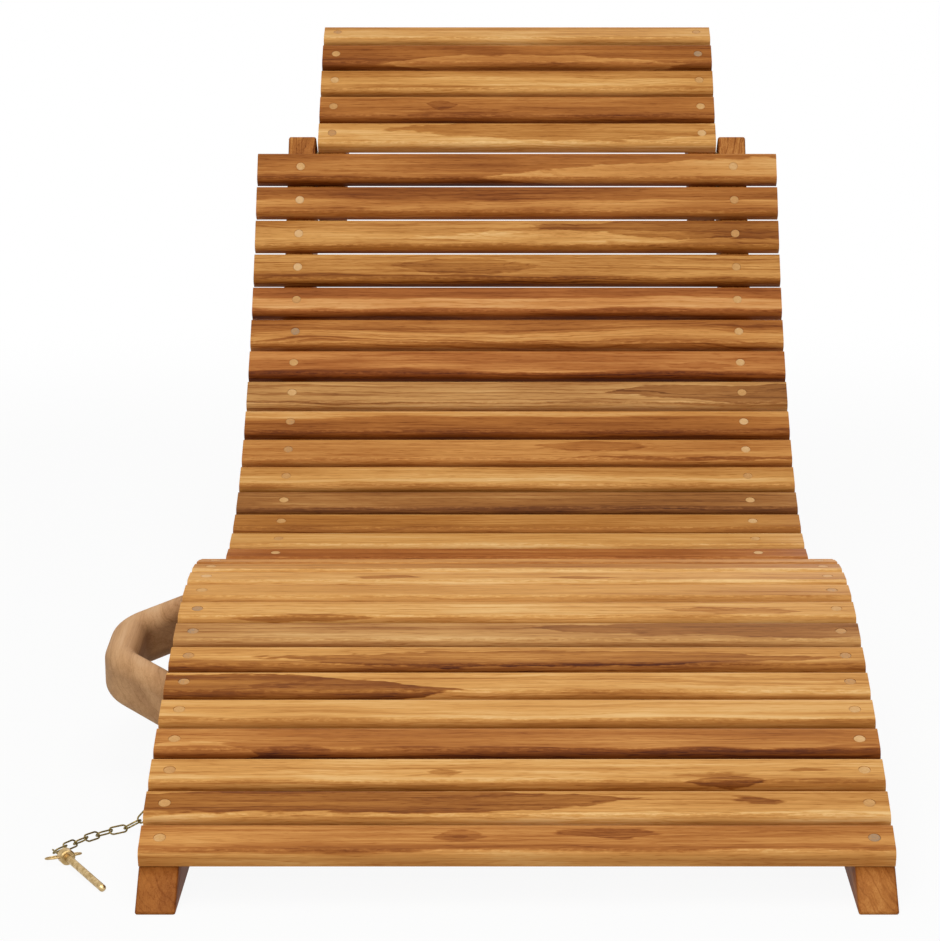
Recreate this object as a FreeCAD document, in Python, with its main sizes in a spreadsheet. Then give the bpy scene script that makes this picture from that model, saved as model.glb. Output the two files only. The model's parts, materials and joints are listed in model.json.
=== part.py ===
import FreeCAD, Part
import math
import os
import Sketcher
from FreeCAD import Placement, Rotation, Vector

# Folding slatted deck chair. Lengths are millimetres and angles are degrees.
# +Y runs from the feet to the headrest, +Z is up, and the floor is Z = 0.
# Seat stations are lengths along the slat tops, measured from the lowest point of the seat.

SIZES = {
    "chair_width": 600,
    "slat_width": 37.6,
    "slat_thick": 15,
    "slat_gap": 5.5,
    "slat_round": 6.5,
    "slat_ease": 2,
    "front_slat_count": 16,
    "back_slat_count": 18,
    "head_slat_count": 5,
    "rail_thick": 32,
    "rail_depth": 78,
    "layer_gap": 2,
    "head_gap": 3,
    "floor_land": 1.2,
    "seat_clear": 0.1,
    "valley_lead_radius": 360,
    "valley_radius": 408,
    "back_slope": 30.7,
    "upper_radius": 741,
    "top_slope": 56.3,
    "hinge_slope": 18.7,
    "hinge_straight": 76,
    "hinge_ahead": 7.8,
    "hinge_gap": 2.75,
    "hinge_relief": 2.5,
    "pivot_share": 0.5125,
    "crest_radius": 496,
    "crest_slope": 13.3,
    "front_radius": 2040,
    "nose_slope": 38,
    "toe_round": 2,
    "rail_over": 28.2,
    "fold_angle": 170,
    "head_pivot_back": 24.5,
    "head_drop": 16,
    "head_slope": 40.2,
    "head_straight": 136,
    "head_radius": 150,
    "head_depth": 56,
    "head_tail": 66,
    "head_over": 5,
    "head_stop_clear": 0.3,
    "leg_station": 453,
    "leg_width": 44,
    "leg_thick": 30,
    "leg_splay": 10,
    "leg_stop_clear": 0.3,
    "stretcher_down": 205,
    "stretcher_wide": 40,
    "stretcher_thick": 22,
    "brace_side": 24,
    "tenon_length": 14,
    "tenon_shoulder": 5,
    "joint_clear": 0.1,
    "plug_diameter": 10,
    "plug_length": 5.5,
    "plug_clear": 0.05,
    "screw_diameter": 4.5,
    "screw_length": 38,
    "screw_head_diameter": 8.5,
    "screw_head_height": 3,
    "screw_clear": 0.05,
    "bolt_diameter": 8,
    "bolt_clear": 0.05,
    "bolt_head_diameter": 17,
    "bolt_head_height": 4,
    "bolt_seat_clear": 0.3,
    "nut_diameter": 14,
    "nut_height": 6,
    "washer_diameter": 22,
    "washer_clear": 0.2,
    "handle_station": -377,
    "handle_drop": 73,
    "handle_tilt": 4.5,
    "handle_length": 296,
    "handle_reach": 73.5,
    "handle_grip_length": 96,
    "handle_stock": 31,
    "handle_thick": 48,
    "handle_corner": 85,
    "handle_ease": 14,
    "handle_screw_spread": 107,
    "handle_screw_length": 54,
    "eye_station": -645,
    "eye_drop": 68,
    "eye_radius": 4.5,
    "eye_wire": 2,
    "eye_shank": 14,
    "link_length": 17,
    "link_width": 8,
    "link_wire": 1.5,
    "link_slack": 0.7,
    "pin_diameter": 6,
    "pin_length": 84,
    "pin_head_diameter": 13,
    "pin_head_length": 9,
    "pin_hole_clear": 0.5,
    "pin_hole_station": 60,
    "loop_radius": 7,
    "loop_wire": 1.6,
    "loop_clear": 0.2,
    "pin_heading": 29.5,
}

doc = FreeCAD.newDocument("DeckChair")
sheet = doc.addObject("Spreadsheet::Sheet", "Sizes")
for row, (alias, value) in enumerate(SIZES.items(), start=1):
    sheet.set("A%d" % row, alias)
    sheet.set("B%d" % row, str(value))
    sheet.setAlias("B%d" % row, alias)
doc.recompute()
size = {alias: float(sheet.get(alias)) for alias in SIZES}


def cell(text):
    """Expression text in which every size name points at its sheet cell."""
    words = text.replace("(", " ( ").replace(")", " ) ").split()
    return " ".join("Sizes." + word if word in SIZES else word for word in words)


def bind(thing, name, text):
    thing.setExpression(name, cell(text))


# Seat curve: tangent arcs and lines through the slat tops

def travel(pose, length, curvature):
    """Pose (y, z, slope) after a stretch of one curvature; a negative length goes forward."""
    y, z, slope = pose
    if curvature == 0:
        return (y + length * math.cos(slope), z + length * math.sin(slope), slope)
    turned = slope + length * curvature
    return (y + (math.sin(turned) - math.sin(slope)) / curvature,
            z - (math.cos(turned) - math.cos(slope)) / curvature, turned)


def sink(pose, depth):
    """Point at a depth below the slat tops, square to the seat."""
    return Vector(0, pose[0] + depth * math.sin(pose[2]), pose[1] - depth * math.cos(pose[2]))


class Curve:
    """A seat line made of stretches that follow each other tangentially."""

    def __init__(self, start, stretches):
        self.parts = []
        station, pose = start
        for length, curvature in stretches:
            beyond = travel(pose, length, curvature)
            low = (station, pose) if length > 0 else (station + length, beyond)
            self.parts.append((low[0], low[0] + abs(length), low[1], curvature))
            station, pose = station + length, beyond
        self.parts.sort(key=lambda part: part[0])

    def pose(self, station):
        for low, high, pose, curvature in self.parts:
            if station <= high or high == self.parts[-1][1]:
                return travel(pose, station - low, curvature)

    def bend(self, station):
        for low, high, pose, curvature in self.parts:
            if station <= high or high == self.parts[-1][1]:
                return curvature

    def edge(self, first, last, depth):
        """Lines and arcs at a depth, in order from the first station to the last."""
        low, high = min(first, last), max(first, last)
        stops = [low] + [part[1] for part in self.parts if low < part[1] < high] + [high]
        runs = []
        for begin, end in zip(stops, stops[1:]):
            middle = (begin + end) / 2
            points = [sink(self.pose(begin + (end - begin) * share), depth) for share in (0, 0.5, 1)]
            runs.append(points if self.bend(middle) else [points[0], points[2]])
        if first > last:
            runs = [points[::-1] for points in runs[::-1]]
        return runs

    def floor_station(self, inside, outside, depth):
        """Station between two others where the line at a depth meets the floor."""
        for _ in range(60):
            middle = (inside + outside) / 2
            if sink(self.pose(middle), depth).z > 0:
                inside = middle
            else:
                outside = middle
        return inside


radians = math.radians
pitch = size["slat_width"] + size["slat_gap"]
rail_base = size["slat_thick"] + size["rail_depth"]
pivot_drop = size["rail_depth"] * size["pivot_share"]
pivot_depth = size["slat_thick"] + pivot_drop
lead_length = size["valley_lead_radius"] * radians(size["hinge_slope"])
crest_length = size["crest_radius"] * radians(size["hinge_slope"] + size["crest_slope"])
hinge_station = -lead_length - size["hinge_ahead"]
front_span = (size["front_slat_count"] - 1) * pitch + size["slat_width"]
back_span = (size["back_slat_count"] - 1) * pitch + size["slat_width"]
front_start = hinge_station - size["hinge_gap"] - front_span
back_start = hinge_station + size["hinge_gap"]
back_end = back_start + back_span
rail_end = back_end + size["rail_over"]

valley = (0, (0.0, rail_base - size["floor_land"], 0.0))
forward = [(-lead_length, 1 / size["valley_lead_radius"]), (-size["hinge_straight"], 0),
           (-crest_length, -1 / size["crest_radius"])]
forward.append((front_start - sum(length for length, _ in forward), -1 / size["front_radius"]))
backward = [(size["valley_radius"] * radians(size["back_slope"]), 1 / size["valley_radius"]),
            (size["upper_radius"] * radians(size["top_slope"] - size["back_slope"]),
             1 / size["upper_radius"])]
backward.append((rail_end - sum(length for length, _ in backward), 0))
front_curve = Curve(valley, forward)
back_curve = Curve(valley, backward)
seat = Curve(valley, [])
seat.parts = front_curve.parts + back_curve.parts

hinge = sink(seat.pose(hinge_station), pivot_depth)
head_pivot_depth = size["slat_thick"] + size["head_drop"]
head_pivot = sink(seat.pose(rail_end - size["head_pivot_back"]), head_pivot_depth)
leg_pivot = sink(seat.pose(size["leg_station"]), pivot_depth)


def along(slope):
    return Vector(0, math.cos(slope), math.sin(slope))


def above(slope):
    return Vector(0, -math.sin(slope), math.cos(slope))


def turn(point, centre, degrees):
    return centre + Rotation(Vector(1, 0, 0), degrees).multVec(point - centre)


# Slat edge of the headrest rails, whose stations start level with the headrest pivot
head_slope = radians(size["head_slope"])
head_bend = radians(size["top_slope"]) - head_slope
head_origin = head_pivot + above(head_slope) * size["head_drop"]
last_slat = size["head_pivot_back"] - size["rail_over"]
head_start = last_slat + size["slat_gap"] - size["head_drop"] * math.sin(head_bend)
head_start = head_start / math.cos(head_bend)
head_span = (size["head_slat_count"] - 1) * pitch + size["slat_width"]
head_end = head_start + head_span + size["head_over"]
head_first = (head_start, travel((head_origin.y, head_origin.z, head_slope), head_start, 0))
head_curve = Curve(head_first, [(size["head_straight"] - head_start, 0),
                                (head_end - size["head_straight"], -1 / size["head_radius"])])

# Layers of rails side by side, as distances from the middle of the chair

front_outer = size["chair_width"] / 2
front_inner = front_outer - size["rail_thick"]
back_outer = front_inner - size["layer_gap"]
back_inner = back_outer - size["rail_thick"]
inside_outer = back_inner - size["head_gap"]
head_inner = inside_outer - size["rail_thick"]
leg_inner = inside_outer - size["leg_thick"]

front_outer_text = "chair_width / 2"
back_outer_text = front_outer_text + " - rail_thick - layer_gap"
inside_outer_text = back_outer_text + " - rail_thick - head_gap"

pieces = []


def keep(thing, label):
    """Register a finished sub-part under the name of its node."""
    thing.Label = label
    pieces.append(thing)
    return thing


def plane(body, role):
    return next(feature for feature in body.Origin.OriginFeatures if feature.Role == role)


def new_body(name):
    return doc.addObject("PartDesign::Body", name)


def new_sketch(body, name, role):
    sketch = body.newObject("Sketcher::SketchObject", name)
    sketch.AttachmentSupport = (plane(body, role), "")
    sketch.MapMode = "FlatFace"
    return sketch


def draw(sketch, runs, flat):
    """Add lines (two points) and arcs (three points) of a closed outline."""
    for points in runs:
        spots = [flat(point) for point in points]
        sketch.addGeometry(Part.LineSegment(*spots) if len(spots) == 2 else Part.Arc(*spots))


def side_view(point):
    return Vector(point.y, point.z, 0)


def pad(body, sketch, text, middle=False):
    feature = body.newObject("PartDesign::Pad", sketch.Name + "Pad")
    feature.Profile = sketch
    feature.Midplane = middle
    bind(feature, "Length", text)
    return feature


def ease(body, base, chosen, text):
    """Round the edges of a feature that a test picks."""
    doc.recompute()
    names = ["Edge%d" % (index + 1) for index, edge in enumerate(base.Shape.Edges) if chosen(edge)]
    feature = body.newObject("PartDesign::Fillet", base.Name + "Ease")
    feature.Base = (base, names)
    bind(feature, "Radius", text)
    return feature


def cylinder(name, radius_text, height_text, base, direction):
    """A bound cylinder that starts at a point and runs along a direction."""
    tool = doc.addObject("Part::Cylinder", name)
    bind(tool, "Radius", radius_text)
    bind(tool, "Height", height_text)
    tool.Placement = Placement(base, Rotation(Vector(0, 0, 1), direction))
    return tool


def box(name, length_text, width_text, height_text, centre, slope):
    """A bound block across the chair, centred on a point and turned to a slope."""
    block = doc.addObject("Part::Box", name)
    bind(block, "Length", length_text)
    bind(block, "Width", width_text)
    bind(block, "Height", height_text)
    doc.recompute()
    half = Vector(block.Length.Value / 2, block.Width.Value / 2, block.Height.Value / 2)
    turned = Rotation(Vector(1, 0, 0), math.degrees(slope))
    block.Placement = Placement(centre - turned.multVec(half), turned)
    return block


def cut(name, base, tools):
    """Base less a group of tools."""
    group = doc.addObject("Part::Compound", name + "Cuts")
    group.Links = tools
    result = doc.addObject("Part::Cut", name)
    result.Base = base
    result.Tool = group
    return result


# Rails, drawn from the side and padded across the chair

def round_end(slope, forward_side):
    """Rounded hinge end of a rail about its pivot, from the slat edge to the lower edge."""
    sign = 1 if forward_side else -1
    radius = size["rail_depth"] - pivot_drop
    corner = Vector(0, -sign * (size["hinge_gap"] + size["hinge_relief"]), pivot_drop)
    reach = math.atan2(corner.z, corner.y) - sign * math.acos(radius / corner.Length)
    turned = Rotation(Vector(1, 0, 0), math.degrees(slope))

    def at(angle):
        return hinge + turned.multVec(Vector(0, math.cos(angle), math.sin(angle)) * radius)

    finish = -math.pi / 2
    if not forward_side:
        finish += 2 * math.pi
    return [[hinge + turned.multVec(corner), at(reach)],
            [at(reach), at((reach + finish) / 2), at(finish)]]


def round_toe(heel, toe, nose):
    """Floor line, small round and nose line of a front rail."""
    back = (heel - toe).normalize()
    rise = (nose - toe).normalize()
    half = back.getAngle(rise) / 2
    inset = size["toe_round"] / math.tan(half)
    bisector = (back + rise).normalize()
    middle = toe + bisector * (size["toe_round"] / math.sin(half) - size["toe_round"])
    low, high = toe + back * inset, toe + rise * inset
    return [[heel, low], [low, middle, high], [high, nose]]


def front_outline():
    slope = seat.pose(hinge_station)[2]
    nose = sink(front_curve.pose(front_start), size["slat_thick"])
    toe = Vector(0, nose.y - nose.z / math.tan(radians(size["nose_slope"])), 0)
    touch = front_curve.floor_station(hinge_station, front_start, rail_base)
    heel = sink(front_curve.pose(touch), rail_base)
    top_last = hinge_station - size["hinge_gap"] - size["hinge_relief"]
    runs = front_curve.edge(front_start, top_last, size["slat_thick"])
    runs += round_end(slope, True)
    runs += front_curve.edge(hinge_station, touch, rail_base)
    return runs + round_toe(heel, toe, nose), toe


def back_outline():
    slope = seat.pose(hinge_station)[2]
    ahead = front_curve.floor_station(hinge_station, 0, rail_base)
    behind = back_curve.floor_station(back_end, 0, rail_base)
    top_first = hinge_station + size["hinge_gap"] + size["hinge_relief"]
    top_point = sink(back_curve.pose(rail_end), size["slat_thick"])
    low_point = sink(back_curve.pose(rail_end), rail_base)
    runs = [points[::-1] for points in round_end(slope, False)[::-1]]
    runs += front_curve.edge(top_first, 0, size["slat_thick"])
    runs += back_curve.edge(0, rail_end, size["slat_thick"])
    runs += [[top_point, low_point]]
    runs += back_curve.edge(rail_end, behind, rail_base)
    runs += [[sink(back_curve.pose(behind), rail_base), sink(front_curve.pose(ahead), rail_base)]]
    return runs + front_curve.edge(ahead, hinge_station, rail_base)


def head_outline():
    """Headrest rail: a tail that stops under the back slats, then the slat edge and the belly."""
    back_top = radians(size["top_slope"])
    rise = size["head_drop"] - size["head_stop_clear"]
    tail_line = head_pivot + above(back_top) * rise
    tail_top = tail_line - along(back_top) * size["head_tail"]
    tail_low = tail_top - above(back_top) * size["head_depth"]
    step = tail_line + along(back_top) * (last_slat + size["head_stop_clear"])
    shoulder = sink(head_curve.pose(head_start), 0)
    belly = sink(head_curve.pose(head_start), size["head_depth"])
    top_last = sink(head_curve.pose(head_end), 0)
    low_last = sink(head_curve.pose(head_end), size["head_depth"])
    runs = [[tail_top, step], [step, shoulder]]
    runs += head_curve.edge(head_start, head_end, 0)
    runs += [[top_last, low_last]]
    runs += head_curve.edge(head_end, head_start, size["head_depth"])
    return runs + [[belly, tail_low], [tail_low, tail_top]]


def leg_outline(axis, side):
    """Leg with a round top about its pivot and a foot cut level with the floor."""
    half = size["leg_width"] / 2

    def foot(shift):
        start = leg_pivot + side * shift
        return start - axis * (start.z / axis.z)

    fore, aft = leg_pivot - side * half, leg_pivot + side * half
    return [[fore, leg_pivot - axis * half, aft], [aft, foot(half)],
            [foot(half), foot(-half)], [foot(-half), fore]]


def board(name, runs, thick_text, inner, side):
    """Padded board between two layers; side is -1 on the left and 1 on the right."""
    body = new_body(name)
    sketch = new_sketch(body, name + "Outline", "YZ_Plane")
    draw(sketch, runs, side_view)
    pad(body, sketch, thick_text)
    doc.recompute()
    thick = body.Shape.BoundBox.XLength
    body.Placement = Placement(Vector(inner if side > 0 else -inner - thick, 0, 0), Rotation())
    return body


# Slat places: seat point, slope and lift over a hollow rail edge

def slat_place(curve, station, depth):
    half = size["slat_width"] / 2
    hollow = max(curve.bend(station - half), curve.bend(station + half), 0)
    lift = hollow * half ** 2 / 2 + size["seat_clear"]
    pose = curve.pose(station)
    return sink(pose, depth - lift), pose[2]


def slat_row(curve, first, count, depth):
    """Places of a row of slats whose rail edge lies at a depth below the curve."""
    start = first + size["slat_width"] / 2
    return [slat_place(curve, start + index * pitch, depth) for index in range(int(count))]


front_row = slat_row(front_curve, front_start, size["front_slat_count"], size["slat_thick"])
seam = Curve(valley, [])
seam.parts = [part for part in front_curve.parts if part[1] > hinge_station] + back_curve.parts
back_row = slat_row(seam, back_start, size["back_slat_count"], size["slat_thick"])
head_row = slat_row(head_curve, head_start, size["head_slat_count"], 0)

counterbore = size["plug_length"] + size["screw_head_height"] + size["plug_clear"]
counterbore_text = "plug_length + screw_head_height + plug_clear"


def make_slat(label, place, length_text, reach_text):
    """Slat with rounded long edges and a stepped screw hole over each rail."""
    body = new_body(label)
    outline = new_sketch(body, label + "Section", "YZ_Plane")
    half, thick = size["slat_width"] / 2, size["slat_thick"]
    corners = [Vector(-half, 0, 0), Vector(half, 0, 0), Vector(half, thick, 0), Vector(-half, thick, 0)]
    for index in range(4):
        outline.addGeometry(Part.LineSegment(corners[index], corners[(index + 1) % 4]))
    for index in range(4):
        outline.addConstraint(Sketcher.Constraint("Coincident", index, 2, (index + 1) % 4, 1))
    for index, kind in ((1, "Vertical"), (2, "Horizontal"), (3, "Vertical")):
        outline.addConstraint(Sketcher.Constraint(kind, index))
    outline.addConstraint(Sketcher.Constraint("Symmetric", 0, 1, 0, 2, -2))
    outline.addConstraint(Sketcher.Constraint("PointOnObject", 0, 1, -1))
    wide = outline.addConstraint(Sketcher.Constraint("DistanceX", 0, 1, 0, 2, 2 * half))
    tall = outline.addConstraint(Sketcher.Constraint("DistanceY", 1, 1, 1, 2, thick))
    bind(outline, "Constraints[%d]" % wide, "slat_width")
    bind(outline, "Constraints[%d]" % tall, "slat_thick")
    bar = pad(body, outline, length_text, True)
    crown = ease(body, bar, lambda edge: edge.BoundBox.XLength > 1 and edge.BoundBox.ZMin > thick / 2,
                 "slat_round")
    base = ease(body, crown, lambda edge: edge.BoundBox.XLength > 1 and edge.BoundBox.ZMax < 1e-3,
                "slat_ease")
    for name, radius_text, depth_text in (
            ("Counterbore", "plug_diameter / 2 + plug_clear", counterbore_text),
            ("ScrewHole", "screw_diameter / 2 + screw_clear", "slat_thick")):
        rings = new_sketch(body, label + name, "XY_Plane")
        bind(rings, "AttachmentOffset.Base.z", "slat_thick")
        for index, sign in enumerate((1, -1)):
            rings.addGeometry(Part.Circle(Vector(sign * half, 0, 0), Vector(0, 0, 1), 1 + sign * 0.1))
            rings.addConstraint(Sketcher.Constraint("PointOnObject", index, 3, -1))
        rings.addConstraint(Sketcher.Constraint("Equal", 0, 1))
        round_mark = rings.addConstraint(Sketcher.Constraint("Radius", 0, 1))
        right_mark = rings.addConstraint(Sketcher.Constraint("DistanceX", -1, 1, 0, 3, half))
        left_mark = rings.addConstraint(Sketcher.Constraint("DistanceX", 1, 3, -1, 1, half))
        bind(rings, "Constraints[%d]" % round_mark, radius_text)
        bind(rings, "Constraints[%d]" % right_mark, reach_text)
        bind(rings, "Constraints[%d]" % left_mark, reach_text)
        pocket = body.newObject("PartDesign::Pocket", label + name + "Pocket")
        pocket.Profile = rings
        bind(pocket, "Length", depth_text)
    body.Placement = Placement(place[0], Rotation(Vector(1, 0, 0), math.degrees(place[1])))
    doc.recompute()
    solid = math.pi * (size["plug_diameter"] / 2) ** 2 * counterbore
    if base.Shape.Volume - body.Shape.Volume < 2 * solid:
        raise RuntimeError(label + ": the screw holes are missing")
    return keep(body, label)


def pilot_holes(name, row, reach, inner_side):
    """Screw holes in a rail under its row of slats."""
    depth_text = "screw_length + " + counterbore_text + " - slat_thick"
    return [cylinder("%sPilot%d" % (name, index), "screw_diameter / 2 + screw_clear", depth_text,
                     spot + Vector(inner_side * reach, 0, 0), above(slope) * -1)
            for index, (spot, slope) in enumerate(row)]


def cross_hole(name, point, radius_text, first, last):
    """Hole along X between two distances from the middle, signed."""
    length = "%r" % abs(last - first)
    heading = Vector(math.copysign(1, last - first), 0, 0)
    return cylinder(name, radius_text, length, Vector(first, point.y, point.z), heading)


front_reach = front_outer - size["rail_thick"] / 2
back_reach = back_outer - size["rail_thick"] / 2
head_reach = inside_outer - size["rail_thick"] / 2
front_reach_text = "chair_width / 2 - rail_thick / 2"
back_reach_text = back_outer_text + " - rail_thick / 2"
head_reach_text = inside_outer_text + " - rail_thick / 2"
bolt_hole_text = "bolt_diameter / 2 + bolt_clear"
spare = size["rail_thick"]

leg_axis = along(radians(-90 + size["leg_splay"]))
leg_side = Vector(0, -leg_axis.z, leg_axis.y)
stretcher_centre = leg_pivot + leg_axis * size["stretcher_down"]
leg_slope = math.atan2(leg_axis.z, leg_axis.y)
brace_off = size["leg_width"] / 2 + size["leg_stop_clear"] + size["brace_side"] / 2
brace_centre = leg_pivot + leg_side * brace_off - leg_axis * (size["leg_width"] / 8)
brace_tenon_text = "brace_side - 2 * tenon_shoulder"
stretcher_tenon_text = "stretcher_wide - 2 * tenon_shoulder"
stretcher_cheek_text = "stretcher_thick - 2 * tenon_shoulder"

pin_hole_back = sink(back_curve.pose(size["pin_hole_station"]), pivot_depth)
pin_hole_front = turn(pin_hole_back, hinge, -size["fold_angle"])
pin_hole_text = "pin_diameter / 2 + pin_hole_clear"
sunk_seat = back_outer - size["bolt_head_height"] - size["bolt_seat_clear"]

handle_pose = front_curve.pose(size["handle_station"])
handle_centre = sink((handle_pose[0], handle_pose[1], 0), size["handle_drop"])
handle_slope = radians(size["handle_tilt"])
handle_reach_back = along(handle_slope) * size["handle_screw_spread"]
handle_screws = [handle_centre - handle_reach_back, handle_centre + handle_reach_back]
eye_point = sink(front_curve.pose(size["eye_station"]), size["eye_drop"])

front_runs, toe = front_outline()
back_runs = back_outline()
head_runs = head_outline()
leg_runs = leg_outline(leg_axis, leg_side)

for side, hand in ((-1, "left"), (1, "right")):
    name = hand.capitalize()
    front_cuts = pilot_holes("Front" + name, front_row, front_reach, side)
    front_cuts.append(cross_hole("FrontPivot" + name, hinge, bolt_hole_text,
                                 side * (front_inner - 1), side * (front_outer + 1)))
    if side < 0:
        front_cuts.append(cross_hole("FrontPinHole", pin_hole_front, pin_hole_text,
                                     -front_inner + 1, -front_outer - 1))
        front_cuts.append(cross_hole("EyeHole", eye_point, "eye_wire / 2 + screw_clear", -front_outer - 1,
                                     -front_outer + size["eye_shank"]))
        for index, spot in enumerate(handle_screws):
            front_cuts.append(cross_hole("HandleHole%d" % index, spot, "screw_diameter / 2 + screw_clear",
                                         -front_inner + 1, -front_outer - 1))
            front_cuts.append(cross_hole("HandleSeat%d" % index, spot, "screw_head_diameter / 2 + plug_clear",
                                         -front_inner + 1, -front_inner - size["screw_head_height"]))
    front_board = board("FrontBoard" + name, front_runs, "rail_thick", front_inner, side)
    keep(cut("FrontRail" + name, front_board, front_cuts), "front_rail_" + hand)

    back_cuts = pilot_holes("Back" + name, back_row, back_reach, side)
    for spot, title in ((hinge, "Front"), (leg_pivot, "Leg"), (head_pivot, "Head")):
        back_cuts.append(cross_hole(title + "Bore" + name, spot, bolt_hole_text,
                                    side * (back_inner - 1), side * (back_outer + 1)))
    for spot, title in ((leg_pivot, "Leg"), (head_pivot, "Head")):
        back_cuts.append(cross_hole(title + "Seat" + name, spot, "bolt_head_diameter / 2 + bolt_seat_clear",
                                    side * (back_outer + 1), side * sunk_seat))
    if side < 0:
        back_cuts.append(cross_hole("BackPinHole", pin_hole_back, pin_hole_text,
                                    -back_inner + 1, -back_outer - 1))
    back_cuts.append(box("BraceMortise" + name, "2 * tenon_length + 2 * joint_clear",
                         brace_tenon_text + " + 2 * joint_clear", brace_tenon_text + " + 2 * joint_clear",
                         brace_centre + Vector(side * back_inner, 0, 0), leg_slope))
    back_board = board("BackBoard" + name, back_runs, "rail_thick", back_inner, side)
    keep(cut("BackRail" + name, back_board, back_cuts), "back_rail_" + hand)

    head_cuts = pilot_holes("Head" + name, head_row, head_reach, side)
    head_cuts.append(cross_hole("HeadPivot" + name, head_pivot, bolt_hole_text,
                                side * (head_inner - 1), side * (inside_outer + 1)))
    head_board = board("HeadBoard" + name, head_runs, "rail_thick", head_inner, side)
    keep(cut("HeadRail" + name, head_board, head_cuts), "headrest_rail_" + hand)

    leg_cuts = [cross_hole("LegPivot" + name, leg_pivot, bolt_hole_text,
                           side * (leg_inner - 1), side * (inside_outer + 1)),
                box("StretcherMortise" + name, "2 * tenon_length + 2 * joint_clear",
                    stretcher_tenon_text + " + 2 * joint_clear", stretcher_cheek_text + " + 2 * joint_clear",
                    stretcher_centre + Vector(side * leg_inner, 0, 0), leg_slope)]
    leg_board = board("LegBoard" + name, leg_runs, "leg_thick", leg_inner, side)
    keep(cut("RearLeg" + name, leg_board, leg_cuts), "rear_leg_" + hand)

# Slats, one node each

for row, title, length_text, reach_text in (
        (front_row, "front_slat_%02d", "chair_width", front_reach_text),
        (back_row, "back_slat_%02d", "chair_width", back_reach_text),
        (head_row, "headrest_slat_%d", "2 * ( %s )" % inside_outer_text, head_reach_text)):
    for index, place in enumerate(row, start=1):
        make_slat(title % index, place, length_text, reach_text)

# Cross pieces with tenons in the rails and in the legs

brace = doc.addObject("Part::Fuse", "BackBrace")
brace.Base = box("BraceBar", "2 * ( %s - rail_thick )" % back_outer_text, "brace_side", "brace_side",
                 brace_centre, leg_slope)
brace.Tool = box("BraceTenon", "2 * ( %s - rail_thick + tenon_length )" % back_outer_text,
                 brace_tenon_text, brace_tenon_text, brace_centre, leg_slope)
keep(brace, "back_brace")

stretcher = doc.addObject("Part::Fuse", "LegStretcher")
stretcher.Base = box("StretcherBar", "2 * ( %s - leg_thick )" % inside_outer_text,
                     "stretcher_wide", "stretcher_thick", stretcher_centre, leg_slope)
stretcher.Tool = box("StretcherTenon", "2 * ( %s - leg_thick + tenon_length )" % inside_outer_text,
                     stretcher_tenon_text, stretcher_cheek_text, stretcher_centre, leg_slope)
keep(stretcher, "leg_stretcher")


# Fasteners: each kind is turned once and repeated in its places

def turned_piece(radii_and_heights):
    """Solid of revolution about +Z through (radius, height) points."""
    points = [Vector(radius, 0, height) for radius, height in radii_and_heights]
    wire = Part.makePolygon(points + points[:1])
    return Part.Face(wire).revolve(Vector(0, 0, 0), Vector(0, 0, 1), 360)


def repeated(label, solids):
    group = doc.addObject("Part::Feature", label)
    group.Shape = Part.makeCompound(solids)
    return keep(group, label)


def placed(solid, base, direction):
    copy = solid.copy()
    copy.Placement = Placement(base, Rotation(Vector(0, 0, 1), direction))
    return copy


def screw_shape(length):
    """Countersunk screw with its head at Z = 0 and its tip below."""
    radius, head = size["screw_diameter"] / 2, size["screw_head_diameter"] / 2
    height = size["screw_head_height"]
    return turned_piece([(0, 0), (head, 0), (head, -height / 3), (radius, -height),
                         (radius, 2 * radius - length), (0, -length)])


screw = screw_shape(size["screw_length"])
handle_screw = screw_shape(size["handle_screw_length"])
plug_edge = size["plug_diameter"] / 20
plug = turned_piece([(0, 0), (size["plug_diameter"] / 2, 0),
                     (size["plug_diameter"] / 2, size["plug_length"] - plug_edge),
                     (size["plug_diameter"] / 2 - plug_edge, size["plug_length"]), (0, size["plug_length"])])


def row_fasteners(row, reach):
    """Plugs and screws of one row of slats, over both rails."""
    plugs, screws = [], []
    for spot, slope in row:
        for sign in (-1, 1):
            top = spot + above(slope) * size["slat_thick"] + Vector(sign * reach, 0, 0)
            plugs.append(placed(plug, top - above(slope) * size["plug_length"], above(slope)))
            head = top - above(slope) * (size["plug_length"] + size["plug_clear"])
            screws.append(placed(screw, head, above(slope)))
    return plugs, screws


front_plugs, front_screws = row_fasteners(front_row, front_reach)
back_plugs, back_screws = row_fasteners(back_row, back_reach)
head_plugs, head_screws = row_fasteners(head_row, head_reach)
for spot in handle_screws:
    front_screws.append(placed(handle_screw, Vector(-front_inner, spot.y, spot.z), Vector(1, 0, 0)))
repeated("front_plugs", front_plugs)
repeated("back_plugs", back_plugs)
repeated("headrest_plugs", head_plugs)
repeated("front_screws", front_screws)
repeated("back_screws", back_screws)
repeated("headrest_screws", head_screws)


def bolt_set(spot, side, head_face, nut_face, gap_outer, gap_width):
    """Bolt with a domed head and a nut, and a washer between the two rails."""
    radius = size["bolt_diameter"] / 2
    head_radius, nut_radius = size["bolt_head_diameter"] / 2, size["nut_diameter"] / 2
    near = nut_face - size["bolt_seat_clear"]
    tall = size["bolt_head_height"]
    far = near - size["nut_height"]
    rod = turned_piece([(0, far), (nut_radius, far), (nut_radius, near), (radius, near), (radius, head_face),
                        (head_radius, head_face), (head_radius, head_face + tall / 2),
                        (head_radius * 0.7, head_face + tall), (0, head_face + tall)])
    hole = radius + size["bolt_clear"]
    thin = gap_width - 2 * size["washer_clear"]
    low = gap_outer - gap_width + size["washer_clear"]
    washer = turned_piece([(hole, low), (size["washer_diameter"] / 2, low),
                           (size["washer_diameter"] / 2, low + thin), (hole, low + thin)])
    return [placed(solid, Vector(0, spot.y, spot.z), Vector(side, 0, 0)) for solid in (rod, washer)]


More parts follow.
